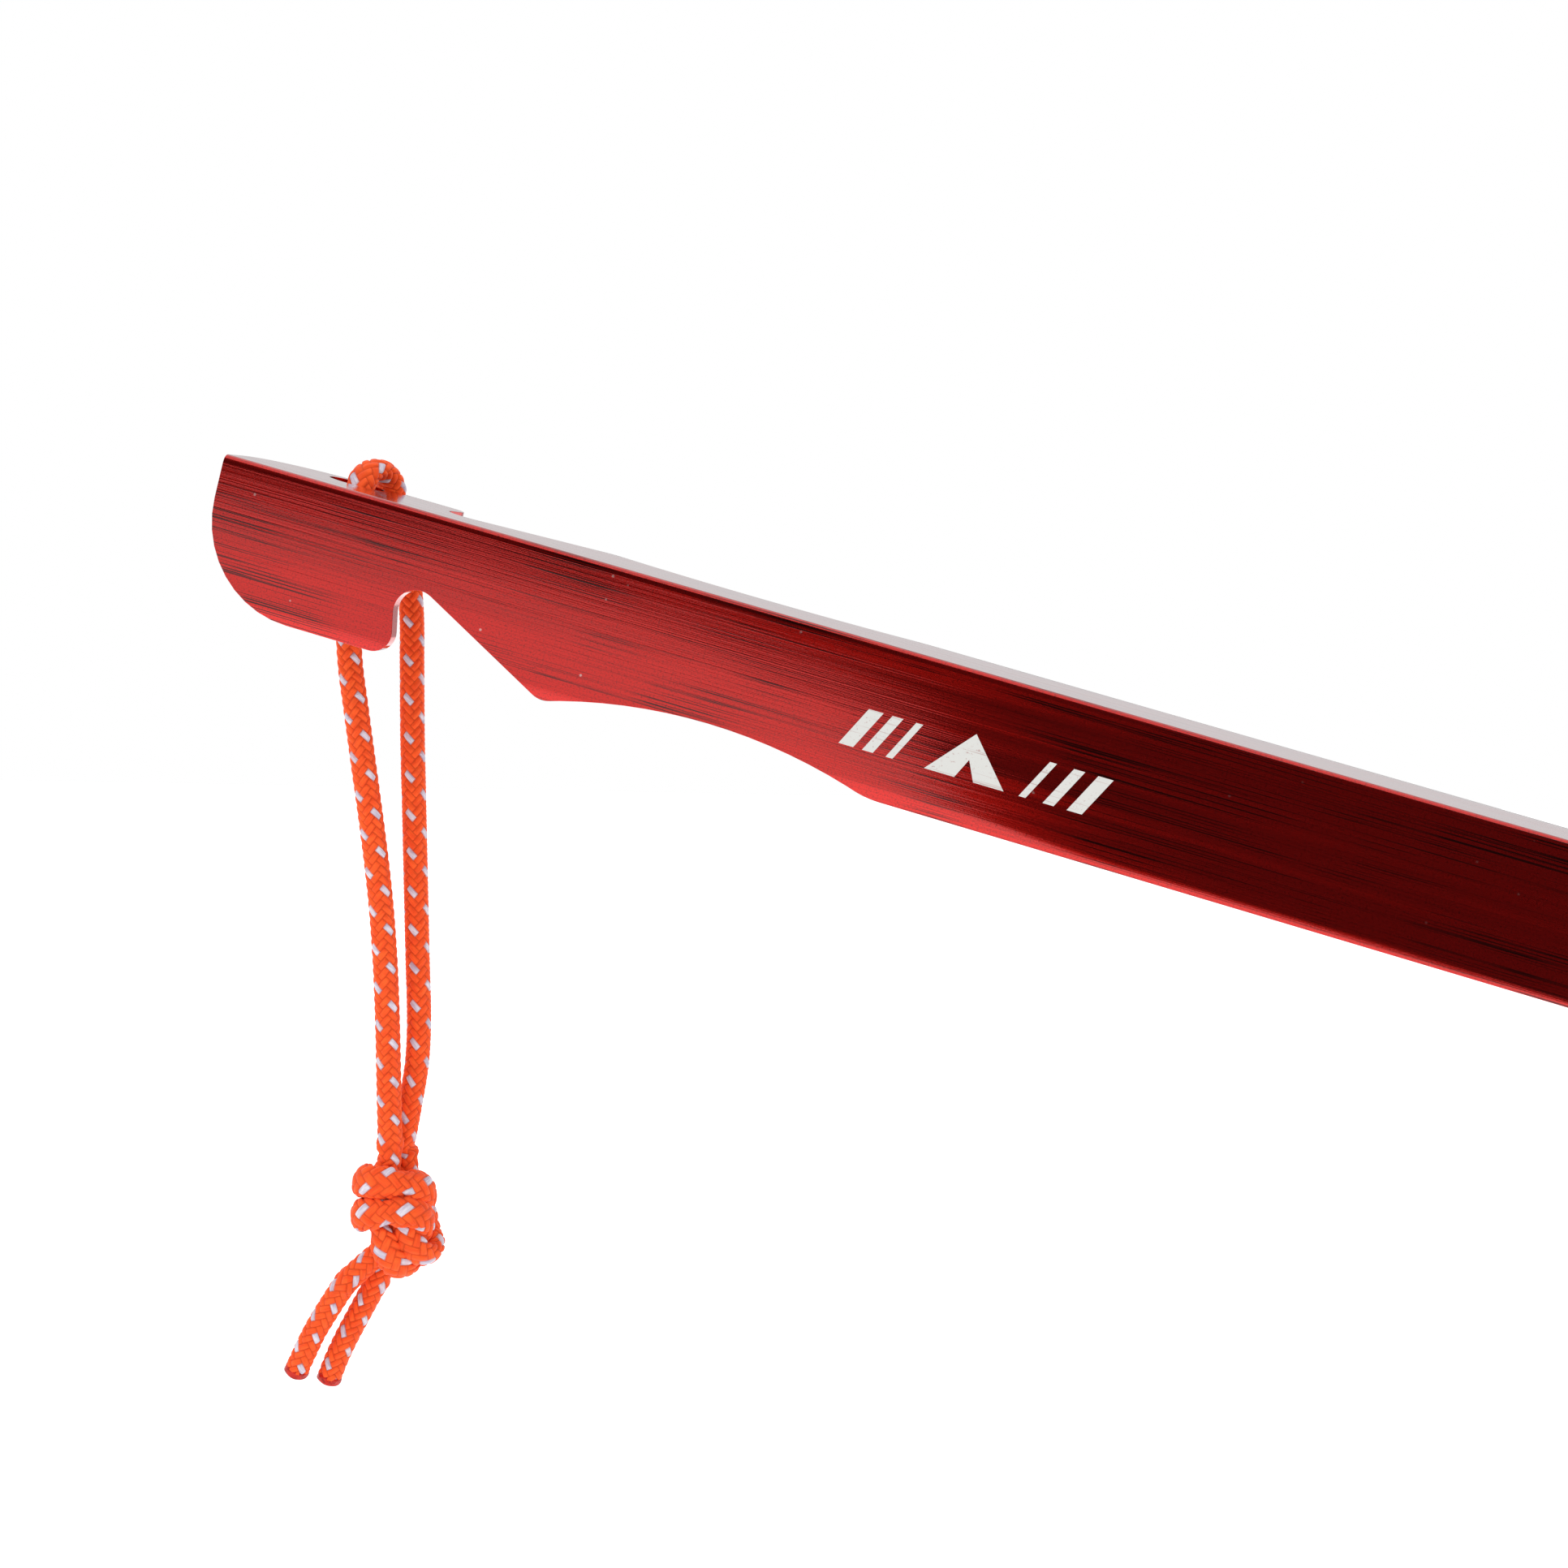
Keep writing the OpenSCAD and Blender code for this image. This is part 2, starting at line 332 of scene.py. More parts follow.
@dataclass(frozen=True)
class WhiteInk:
    """Pad-printed white ink, a little worn where it crosses the die lines."""

    ink: str = "#CFCFCB"
    thin: str = "#A87F7B"
    scratch_mm: Point = (11.1111, 0.192308, 0.192308)
    scratch_cut: Span = (0.6, 0.72)
    scratch_share: float = 0.8
    fleck_mm: float = 0.25
    fleck_cut: Span = (0.62, 0.72)
    fleck_share: float = 0.7
    relief: float = 0.2
    relief_mm: float = 0.02
    roughness: float = 0.55

    def make(self) -> bpy.types.Material:
        """Makes the finish.

        Returns:
            The material: matt white with thin pinkish scratches that let the red show.
        """
        g = Graph("worn_white_pad_print")
        axes = stake_axes(g)
        place = g.add(Kind.PLACE, {"Vector": axes, "Scale": repeats(*self.scratch_mm)})
        scratches = g.add(Kind.NOISE, {"Vector": place, "Scale": 1.0, "Detail": 3.0})
        place = g.add(Kind.PLACE, {"Vector": axes, "Scale": repeats(self.fleck_mm)})
        flecks = g.add(Kind.NOISE, {"Vector": place, "Scale": 1.0, "Detail": 3.0})
        scratched = g.add(Kind.RANGE, (scratches, *self.scratch_cut, 0.0, self.scratch_share))
        flecked = g.add(Kind.RANGE, (flecks, *self.fleck_cut, 0.0, self.fleck_share))
        worn = g.add(Kind.MATH, (scratched, flecked), operation="MAXIMUM")
        white, thin = linear(self.ink), linear(self.thin)
        shade = g.add(Kind.MIX, {0: worn, 6: white, 7: thin}, out=2, data_type="RGBA")
        relief = {"Height": flecks, "Strength": self.relief, "Distance": self.relief_mm * MM}
        bump = g.add(Kind.BUMP, relief)
        ink = {"Base Color": shade, "Roughness": self.roughness, "Normal": bump}
        g.add(Kind.OUTPUT, {"Surface": g.add(Kind.SURFACE, ink)})
        return g.material


@dataclass(frozen=True)
class BraidedPolyester:
    """Sheath of a thin accessory cord: filament yarns with two pale tracer yarns."""

    yarn: str = "#FF5F1F"
    yarn_deep: str = "#EA4812"
    tracer: str = "#E0D9E2"
    tracer_deep: str = "#B3A8BC"
    # gap is the colour of the painted shade in the valleys between the yarns.
    gap: str = "#BE3C0D"
    soil: str = "#C04816"
    filaments: Point = (9.0, 0.8, 1.0)
    lots: Point = (1.1, 0.45, 1.0)
    tone_cut: Span = (0.75, 1.25)
    valley_shade_cut: Span = (0.0, 0.5)
    valley_shade_share: float = 0.65
    soil_mm: float = 1.11111
    soil_cut: Span = (0.5, 0.75)
    soil_share: float = 0.3
    relief: float = 0.45
    relief_mm: float = 0.04
    roughness: float = 0.78
    sheen: float = 0.12
    sheen_roughness: float = 0.4
    specular: float = 0.3

    def make(self) -> bpy.types.Material:
        """Makes the finish.

        Returns:
            The material: fine filaments run along each float, painted shade darkens the valleys
            between the yarns, dirt lies in random patches, and a soft sheen lifts the rounded tops.
        """
        g = Graph("braided_orange_polyester_sheath")
        yarns = g.add(Kind.ATTRIBUTE, out="Vector", attribute_name="yarn_place")
        tracer = g.add(Kind.ATTRIBUTE, out="Fac", attribute_name="tracer")
        height = g.add(Kind.ATTRIBUTE, out="Fac", attribute_name="height")
        # Filaments: counted across one yarn, and drawn coarser than real so that they show.
        place = g.add(Kind.PLACE, {"Vector": yarns, "Scale": self.filaments})
        strands = g.add(Kind.NOISE, {"Vector": place, "Scale": 1.0, "Detail": 2.0})
        place = g.add(Kind.PLACE, {"Vector": yarns, "Scale": self.lots})
        lots = g.add(Kind.NOISE, {"Vector": place, "Scale": 1.0, "Detail": 1.0})
        uneven = g.add(Kind.MATH, (strands, lots), operation="ADD")
        tone = g.add(Kind.RANGE, (uneven, *self.tone_cut, 0.0, 1.0))
        bright, deep = linear(self.yarn), linear(self.yarn_deep)
        orange = g.add(Kind.MIX, {0: tone, 6: bright, 7: deep}, out=2, data_type="RGBA")
        bright, deep = linear(self.tracer), linear(self.tracer_deep)
        pale = g.add(Kind.MIX, {0: tone, 6: bright, 7: deep}, out=2, data_type="RGBA")
        shade = g.add(Kind.MIX, {0: tracer, 6: orange, 7: pale}, out=2, data_type="RGBA")
        # Painted shade and soil: the valleys between the yarns get painted shade where light is
        # lost, and soil lies in random patches.
        valley_shade = g.add(Kind.RANGE, (height, *self.valley_shade_cut, self.valley_shade_share, 0.0))
        shade = g.add(Kind.MIX, {0: valley_shade, 6: shade, 7: linear(self.gap)}, out=2, data_type="RGBA")
        local = g.add(Kind.COORDINATES, out="Object")
        place = g.add(Kind.PLACE, {"Vector": local, "Scale": repeats(self.soil_mm)})
        dirt = g.add(Kind.NOISE, {"Vector": place, "Scale": 1.0, "Detail": 3.0})
        dirty = g.add(Kind.RANGE, (dirt, *self.soil_cut, 0.0, self.soil_share))
        shade = g.add(Kind.MIX, {0: dirty, 6: shade, 7: linear(self.soil)}, out=2, data_type="RGBA")
        relief = {"Height": strands, "Strength": self.relief, "Distance": self.relief_mm * MM}
        sheath = {
            "Base Color": shade, "Roughness": self.roughness, "Normal": g.add(Kind.BUMP, relief),
            "Sheen Weight": self.sheen, "Sheen Roughness": self.sheen_roughness,
            "Specular IOR Level": self.specular,
        }
        g.add(Kind.OUTPUT, {"Surface": g.add(Kind.SURFACE, sheath)})
        return g.material


@dataclass(frozen=True)
class MeltedPolyester:
    """Cord end sealed with a flame: the yarns run together into dark glassy plastic."""

    glass: str = "#C4200E"
    char: str = "#84140A"
    blister_mm: float = 0.4
    char_cut: Span = (0.45, 0.65)
    char_share: float = 0.8
    gloss_cut: Span = (0.4, 0.6)
    roughness: Span = (0.25, 0.5)
    relief: float = 0.5
    relief_mm: float = 0.1
    specular: float = 0.3

    def make(self) -> bpy.types.Material:
        """Makes the finish.

        Returns:
            The material: dark red plastic with charred patches and small blisters.
        """
        g = Graph("flame_sealed_polyester")
        local = g.add(Kind.COORDINATES, out="Object")
        place = g.add(Kind.PLACE, {"Vector": local, "Scale": repeats(self.blister_mm)})
        lumps = g.add(Kind.NOISE, {"Vector": place, "Scale": 1.0, "Detail": 3.0})
        burnt = g.add(Kind.RANGE, (lumps, *self.char_cut, 0.0, self.char_share))
        glass, char = linear(self.glass), linear(self.char)
        shade = g.add(Kind.MIX, {0: burnt, 6: glass, 7: char}, out=2, data_type="RGBA")
        rough = g.add(Kind.RANGE, (lumps, *self.gloss_cut, *self.roughness))
        relief = {"Height": lumps, "Strength": self.relief, "Distance": self.relief_mm * MM}
        plastic = {
            "Base Color": shade, "Roughness": rough, "Normal": g.add(Kind.BUMP, relief),
            "Specular IOR Level": self.specular,
        }
        g.add(Kind.OUTPUT, {"Surface": g.add(Kind.SURFACE, plastic)})
        return g.material


@dataclass(frozen=True)
class StudioPaint:
    """Plain finish of the studio: floor and reflector cards."""

    name: str
    colour: str
    light: str
    glow: float
    roughness: float = 0.9

    def make(self) -> bpy.types.Material:
        """Makes the finish.

        Returns:
            The material, with a little light of its own where the studio is overlit.
        """
        g = Graph(self.name)
        paint = {
            "Base Color": linear(self.colour), "Roughness": self.roughness,
            "Emission Color": linear(self.light), "Emission Strength": self.glow,
        }
        g.add(Kind.OUTPUT, {"Surface": g.add(Kind.SURFACE, paint)})
        return g.material


# ---------------------------------------------------------------- shared mesh code


def new_mesh(name: str, points: np.ndarray, faces: Sequence[Sequence[int]]) -> bpy.types.Object:
    """Makes a smooth-shaded mesh object.

    Args:
        name: Name of the object.
        points: Vertices in metres, one row each.
        faces: Vertex numbers of each face.

    Returns:
        The object, linked to the scene.
    """
    mesh = bpy.data.meshes.new(name)
    mesh.from_pydata([tuple(p) for p in points], [], [tuple(f) for f in faces])
    mesh.polygons.foreach_set("use_smooth", [True] * len(mesh.polygons))
    obj = bpy.data.objects.new(name, mesh)
    bpy.context.scene.collection.objects.link(obj)
    return obj


def dress(obj: bpy.types.Object, material: bpy.types.Material) -> None:
    """Gives an object its only material, and reports it.

    Args:
        obj: The object.
        material: Its finish.
    """
    obj.data.materials.clear()
    obj.data.materials.append(material)
    LOG.info("%s: %s", obj.name, material.name)


def finish_piece(obj: bpy.types.Object, material: bpy.types.Material) -> None:
    """Gives a piece its only material.

    Args:
        obj: The piece.
        material: Its finish.
    """
    dress(obj, material)


# ---------------------------------------------------------------- pull cord


@dataclass(frozen=True)
class CordRoute:
    """Centreline of the pull cord, in millimetres, tail end to tail end.

    It follows the route of the CAD solids, and adds the turns inside the knot.
    """

    rim_middle: Point = (-95.25, 14.4, 25.6)
    bight_radius: float = 2.5
    bight_height: float = 2.62
    bight_shift: float = 1.7
    bight_steps: int = 24
    knot_middle: Point = (-94.3, 14.4, -53.0)
    diameter: float = 2.7
    knot_step: float = 0.45
    step: float = 0.25
    blend_in: int = 4
    smoothing: int = 6
    inner_strand: tuple[Point, ...] = (
        (-95.9, 11.9, 22.4), (-96.9, 11.8, 18), (-97.6, 11.9, 13), (-97.6, 12, 8), (-97.1, 12.2, 3),
        (-96.4, 12.3, -3), (-95.6, 12.5, -10), (-94.9, 12.6, -17), (-94.5, 12.7, -24),
        (-94.4, 12.9, -31), (-94.4, 13, -38),
    )
    outer_strand: tuple[Point, ...] = (
        (-94.3, 16.9, 22.4), (-92.9, 17, 18), (-92.4, 16.9, 13), (-92.4, 16.8, 8), (-92.4, 16.6, 0),
        (-92.3, 16.5, -8), (-92.2, 16.4, -16), (-92.1, 16.3, -24), (-92, 16.2, -31),
        (-92.3, 16.1, -36), (-93.2, 16, -41),
    )
    inner_knot: tuple[Point, ...] = (
        (-0.1, -1.3, 9.0), (-0.2, -0.9, 6.4), (-0.6, -0.5, 4.0), (-1.0, -0.6, 1.6),
        (-1.0, -1.4, -0.8), (-0.3, -2.1, -2.8), (0.7, -1.8, -4.4), (1.8, -0.2, -5.2),
        (1.8, 1.8, -4.6), (0.6, 3.2, -3.2), (-1.4, 3.4, -1.6), (-3.2, 2.0, -0.4),
        (-4.2, -0.2, 0.7), (-3.6, -2.4, 0.9), (-1.8, -3.8, 1.3), (0.2, -4.0, 1.5),
        (2.2, -3.4, 0.6), (3.2, -1.6, 0.0), (2.9, 0.4, -0.6), (1.4, 1.4, -1.2),
        (-0.4, 1.0, -1.8), (-1.8, 0.0, -2.6), (-3.2, -0.8, -4.0), (-4.3, -1.0, -5.2),
        (-6.7, -1.0, -8.5),
    )
    outer_knot: tuple[Point, ...] = (
        (0.4, 1.4, 8.0), (0.9, 1.3, 6.2), (1.4, 1.0, 4.0), (1.3, 0.2, 2.0), (1.3, -0.9, 0.0),
        (1.8, -2.2, -1.6), (3.2, -2.0, -2.4), (4.2, -0.4, -2.8), (4.1, 1.6, -2.2),
        (2.8, 3.4, -0.8), (0.6, 4.4, 0.8), (-1.8, 3.9, 2.2), (-3.7, 2.0, 3.6), (-4.0, -0.4, 4.0),
        (-3.1, -2.6, 4.9), (-1.4, -3.6, 5.4), (0.5, -3.6, 5.6), (2.1, -2.6, 5.3),
        (2.9, -0.6, 4.6), (2.8, 1.6, 2.8), (1.4, 2.4, 1.4), (0.0, 2.2, -0.2), (-0.6, 1.9, -2.2),
        (-1.2, 1.6, -4.2), (-2.1, 1.5, -6.0), (-4.1, 1.4, -9.6),
    )
    front_tail: tuple[Point, ...] = (
        (-103.2, 13.6, -65), (-104.8, 13.8, -68), (-105.9, 14, -70.2),
    )
    rear_tail: tuple[Point, ...] = (
        (-100.4, 15.7, -66.2), (-101.8, 15.7, -69), (-102.8, 15.7, -71.4),
    )

    def bight(self) -> np.ndarray:
        """Half turn over the rim of the hole.

        Returns:
            Points from the inner leg to the outer leg.
        """
        middle = np.array(self.rim_middle)
        turn = np.linspace(0, math.pi, self.bight_steps + 1)[:, None]
        side = np.array([-self.bight_shift / 2, -self.bight_radius, 0.0])
        up = np.array([0.0, 0.0, self.bight_height])
        return middle + np.cos(turn) * side + np.sin(turn) * up

    def knotted(self) -> tuple[np.ndarray, np.ndarray]:
        """Draws the two strands of the overhand knot tight.

        Returns:
            The inner and the outer strand through the knot.
        """
        inner = even_spacing(smooth_curve(self.inner_knot), self.knot_step)
        outer = even_spacing(smooth_curve(self.outer_knot), self.knot_step)
        inner, outer = KnotTightener(self.diameter).run(inner, outer)
        middle = np.array(self.knot_middle)
        return inner + middle, outer + middle

    def centreline(self) -> np.ndarray:
        """Whole cord on one smooth curve.

        Returns:
            Closely spaced points in metres, from the front tail's end to the rear tail's end.
        """
        inner, outer = self.knotted()
        rough = np.vstack([
            np.array(self.front_tail)[::-1], inner[::-1][self.blend_in :: 2],
            np.array(self.inner_strand)[::-1], self.bight()[1:-1], np.array(self.outer_strand),
            outer[: -self.blend_in : 2], np.array(self.rear_tail),
        ])
        line = even_spacing(smooth_curve(rough), self.step)
        for _ in range(self.smoothing):
            line[1:-1] = (line[:-2] + 2 * line[1:-1] + line[2:]) / 4
        return line * MM


@dataclass(frozen=True)
class KnotTightener:
    """Pushes stretches of cord apart until they only touch, while they keep their length.

    The squeeze is how much a gap counts along each axis: above one, the soft cord may press
    closer there. The shares say how much of a fault each round puts right.
    """

    diameter: float
    squeeze: Point = (1.13, 1.13, 0.85)
    rounds: int = 400
    length_rounds: int = 3
    push_share: float = 0.25
    push_gain: float = 1.8
    pull_share: float = 0.25
    bend_share: float = 0.35
    held_first: int = 4
    held_last: int = 5
    neighbours: int = 9

    def run(self, first: np.ndarray, second: np.ndarray) -> tuple[np.ndarray, np.ndarray]:
        """Relaxes both strands.

        Args:
            first: Points of the first strand, in millimetres.
            second: Points of the second strand, in millimetres.

        Returns:
            Both strands, moved; their ends stay where they were.
        """
        line = np.vstack([first, second])
        count, split = len(line), len(first)
        held = np.zeros(count, bool)
        for low, high in ((0, split), (split, count)):
            held[low : low + self.held_first] = True
            held[high - self.held_last : high] = True
        free = ~held[:, None]
        index = np.arange(count)
        strand = index >= split
        gap = abs(index[:, None] - index[None, :])
        apart = (strand[:, None] != strand[None, :]) | (gap > self.neighbours)
        pairs = np.where(apart & (index[:, None] < index[None, :]))
        links = np.array([i for i in range(count - 1) if i != split - 1])
        inner = np.array([i for i in range(1, count - 1) if i not in (split - 1, split)])
        rest = np.linalg.norm(line[links + 1] - line[links], axis=1).mean()
        for _ in range(self.rounds):
            line = line + free * self.pushed(line, *pairs)
            for _ in range(self.length_rounds):
                line = line + free * self.pulled(line, links, rest)
            bend = np.zeros_like(line)
            bend[inner] = (line[inner - 1] + line[inner + 1]) / 2 - line[inner]
            line = line + free * bend * self.bend_share
        return line[:split], line[split:]

    def pushed(self, line: np.ndarray, one: np.ndarray, two: np.ndarray) -> np.ndarray:
        """Moves points apart that are nearer than the cord is thick.

        Args:
            line: All points.
            one: Number of the first point of each pair.
            two: Number of the second point of each pair.

        Returns:
            How far each point moves.
        """
        gap = line[two] - line[one]
        length = np.linalg.norm(gap * self.squeeze, axis=1)
        near = length < self.diameter
        move, hits = np.zeros_like(line), np.zeros(len(line))
        share = (self.diameter - length[near]) * self.push_share / length[near]
        push = gap[near] * share[:, None]
        for points, way in ((one[near], -push), (two[near], push)):
            np.add.at(move, points, way)
            np.add.at(hits, points, 1)
        return move / np.maximum(hits, 1)[:, None] * self.push_gain

    def pulled(self, line: np.ndarray, links: np.ndarray, rest: float) -> np.ndarray:
        """Brings neighbours back to their spacing.

        Args:
            line: All points.
            links: Number of each point that has a next one on its strand.
            rest: Spacing that is wanted.

        Returns:
            How far each point moves.
        """
        gap = line[links + 1] - line[links]
        length = np.linalg.norm(gap, axis=1)
        pull = gap * ((length - rest) * self.pull_share / length)[:, None]
        move = np.zeros_like(line)
        np.add.at(move, links, pull)
        np.add.at(move, links + 1, -pull)
        return move


def smooth_curve(points: Sequence[Sequence[float]], between: int = 20) -> np.ndarray:
    """Catmull-Rom curve through points.

    Args:
        points: Points that it passes.
        between: Samples per span.

    Returns:
        Samples along the curve.
    """
    knots = np.array(points, float)
    padded = np.vstack([2 * knots[0] - knots[1], knots, 2 * knots[-1] - knots[-2]])
    t = np.linspace(0, 1, between, endpoint=False)[:, None]
    spans = []
    for a, b, c, d in zip(padded, padded[1:], padded[2:], padded[3:]):
        cubic = (-a + 3 * b - 3 * c + d) * t**3 + (2 * a - 5 * b + 4 * c - d) * t**2
        spans.append(0.5 * (cubic + (c - a) * t + 2 * b))
    return np.vstack(spans + [knots[-1:]])


def even_spacing(line: np.ndarray, step: float) -> np.ndarray:
    """Resamples a line at even distances.

    Args:
        line: Points along it.
        step: Wanted distance between them.

    Returns:
        The new points, both ends kept.
    """
    run = np.r_[0, np.cumsum(np.linalg.norm(np.diff(line, axis=0), axis=1))]
    places = np.linspace(0, run[-1], max(2, int(round(run[-1] / step))) + 1)
    return np.stack([np.interp(places, run, line[:, k]) for k in range(3)], 1)


def carried_frames(line: np.ndarray) -> tuple[np.ndarray, np.ndarray]:
    """Two cross axes along a line that turn as little as they can.

    Args:
        line: Points along it.

    Returns:
        The first and the second cross axis at each point.
    """
    tangent = np.gradient(line, axis=0)
    tangent /= np.linalg.norm(tangent, axis=1)[:, None]
    first = np.zeros_like(line)
    axis = np.cross(tangent[0], (1.0, 0.0, 0.0))
    for i, t in enumerate(tangent):
        axis = axis - t * (axis @ t)
        axis = axis / np.linalg.norm(axis)
        first[i] = axis
    return first, np.cross(tangent, first)


@dataclass(frozen=True)
class Braid:
    """Sixteen-carrier sheath: eight yarns each way, over two and under two."""

    diameter_mm: float = 2.7
    carriers: int = 8
    pitch_mm: float = 8.3
    cells: int = 5
    yarn_rise_mm: float = 0.2
    tracer_first: int = 1
    weave_repeat: int = 4
    family_apart: float = 7.0
    yarn_shape: float = 2.4
    float_shape: float = 4.0
    flat_bend_mm: float = 4.0
    flat_ease_mm: float = 1.2
    widen: float = 0.36
    thin: float = 0.13

    def build(self, name: str, centreline: np.ndarray) -> bpy.types.Object:
        """Builds the sheath, with its mesh lines along the yarns.

        Args:
            name: Name of the piece.
            centreline: Points in metres.

        Returns:
            The mesh object, with the attributes its finish reads.
        """
        around = self.carriers * self.cells
        step = self.pitch_mm * MM / (2 * around)
        line = even_spacing(centreline, step)
        first, second = carried_frames(line)
        rings = len(line)
        ring, place = np.meshgrid(np.arange(rings), np.arange(around), indexing="ij")
        turn = (2 * place - ring) * math.pi / around
        rise = self.profile(place, place - ring)
        radius = (self.diameter_mm / 2 - self.yarn_rise_mm * (1 - rise)) * MM
        offset = (
            (radius * np.cos(turn))[..., None] * first[ring]
            + (radius * np.sin(turn))[..., None] * second[ring]
        )
        inward, share = self.bending(line)
        depth = (offset * inward[ring]).sum(-1, keepdims=True)
        flat = share[ring][..., None]
        offset = offset * (1 + self.widen * flat)
        offset = offset - depth * inward[ring] * (self.widen + self.thin) * flat
        points = (line[ring] + offset).reshape(-1, 3)
        c, i = np.meshgrid(np.arange(1, rings - 1), np.arange(around), indexing="ij")
        right, up = (i + 1) % around, i % around
        quads = np.stack(
            [c * around + i, (c + 1) * around + right, c * around + right, (c - 1) * around + up], -1
        ).reshape(-1, 4)
        obj = new_mesh(name, points, quads.tolist())
        self.mark_faces(obj, i.ravel(), (i - c).ravel(), rise.ravel())
        return obj

    def bending(self, line: np.ndarray) -> tuple[np.ndarray, np.ndarray]:
        """Where the hollow sheath is bent enough to go flat.

        Args:
            line: Evenly spaced points.

        Returns:
            The direction towards the inside of the bend, and how flat the cord is, 0 to 1.
        """
        step = np.linalg.norm(line[1] - line[0])
        bend = np.gradient(np.gradient(line, axis=0), axis=0) / step**2
        window = np.hanning(2 * int(self.flat_ease_mm * MM / step) + 1)
        window /= window.sum()
        bend = np.stack([np.convolve(bend[:, k], window, "same") for k in range(3)], 1)
        size = np.linalg.norm(bend, axis=1)
        share = np.clip(size * self.flat_bend_mm * MM, 0, 1)
        return bend / np.maximum(size, 1e-9)[:, None], share * share * (3 - 2 * share)

    def over(self, one: np.ndarray, two: np.ndarray) -> np.ndarray:
        """Which cells the first family of yarns covers.

        Args:
            one: Cell number across the first family.
            two: Cell number across the second family.

        Returns:
            True where the first family lies on top.
        """
        return (one + two) % self.weave_repeat < self.weave_repeat // 2

    def profile(self, i: np.ndarray, j: np.ndarray) -> np.ndarray:
        """Height of the yarns at mesh points, from 0 between yarns to 1 on their backs.

        Args:
            i: Mesh line number across the first family.
            j: Mesh line number across the second family.

        Returns:
            The height.
        """
        one, two = i // self.cells, j // self.cells
        across, along = i / self.cells, j / self.cells
        on_top = self.over(one, two)
        side = np.where(on_top, across - one, along - two) * 2 - 1
        half = self.weave_repeat // 2
        first_place = (along + one) % self.weave_repeat
        second_place = (across + two + half) % self.weave_repeat
        place = np.where(on_top, first_place, second_place) - half / 2
        round_side = np.clip(1 - abs(side) ** self.yarn_shape, 0, 1)
        sunk_ends = np.clip(1 - abs(place) ** self.float_shape, 0, 1)
        return np.sqrt(round_side * sunk_ends)

    def mark_faces(
        self, obj: bpy.types.Object, i: np.ndarray, j: np.ndarray, rise: np.ndarray
    ) -> None:
        """Writes the attributes that the finish reads.

        Args:
            obj: The sheath.
            i: Mesh line number of each face across the first family.
            j: Mesh line number of each face across the second family.
            rise: Height at each vertex.
        """
        mesh = obj.data
        one, two = i // self.cells, j // self.cells
        on_top = self.over(one, two)
        tracer = on_top & ((one - self.tracer_first) % (self.carriers // 2) == 0)
        faces = mesh.attributes.new("tracer", "FLOAT", "FACE").data
        faces.foreach_set("value", tracer.astype(np.float32))
        points = mesh.attributes.new("height", "FLOAT", "POINT").data
        points.foreach_set("value", rise.astype(np.float32))
        corner = np.array([(0, 0), (1, 0), (1, 1), (0, 1)])
        a = (i[:, None] + corner[None, :, 0]) / self.cells
        b = (j[:, None] + corner[None, :, 1]) / self.cells
        top = on_top[:, None]
        family = np.where(top, 0.0, self.family_apart) + np.zeros_like(a)
        place = np.stack([np.where(top, a, b), np.where(top, b, a), family], -1)
        corners = mesh.attributes.new("yarn_place", "FLOAT_VECTOR", "CORNER").data
        corners.foreach_set("vector", place.astype(np.float32).ravel())


@dataclass(frozen=True)
class MeltedEnd:
    """Blob where the cord was cut and sealed."""

    radius_mm: float = 1.36
    length_mm: float = 1.2
    inside: float = 0.35
    face: float = 0.12
    bluntness: int = 5
    sides: int = 32
    rings: int = 14
    lump_mm: float = 0.04
    small_lumps: float = 0.6

    def build(self, name: str, end: np.ndarray, outward: np.ndarray) -> bpy.types.Object:
        """Builds a closed lumpy cap over the last of the cord.

        Args:
            name: Name of the piece.
            end: Last point of the cord, in metres.
            outward: Direction that the cord ends in.

        Returns:
            The mesh object.
        """
        axis = outward / np.linalg.norm(outward)
        first = np.cross(axis, (0.0, 1.0, 0.0))
        first /= np.linalg.norm(first)
        second = np.cross(axis, first)
        points = []
        for ring in range(self.rings + 1):
            part = ring / self.rings
            along = (part - self.inside) * self.length_mm
            bulge = self.face
            if 0 < ring < self.rings:
                bulge = math.sqrt(1 - abs(2 * part - 1) ** self.bluntness)
            for k in range(self.sides):
                turn = 2 * math.pi * k / self.sides
                lump = math.sin(3 * turn + 5 * part)
                lump += self.small_lumps * math.sin(5 * turn - 7 * part)
                radius = (self.radius_mm + self.lump_mm * lump) * bulge
                spread = math.cos(turn) * first + math.sin(turn) * second
                points.append(end + (radius * spread + along * axis) * MM)
        faces = [list(range(self.sides))[::-1]]
        for ring in range(self.rings):
            for k in range(self.sides):
                n = (k + 1) % self.sides
                low, high = ring * self.sides, (ring + 1) * self.sides
                faces.append([low + k, low + n, high + n, high + k])
        faces.append([self.rings * self.sides + k for k in range(self.sides)])
        return new_mesh(name, np.array(points), faces)


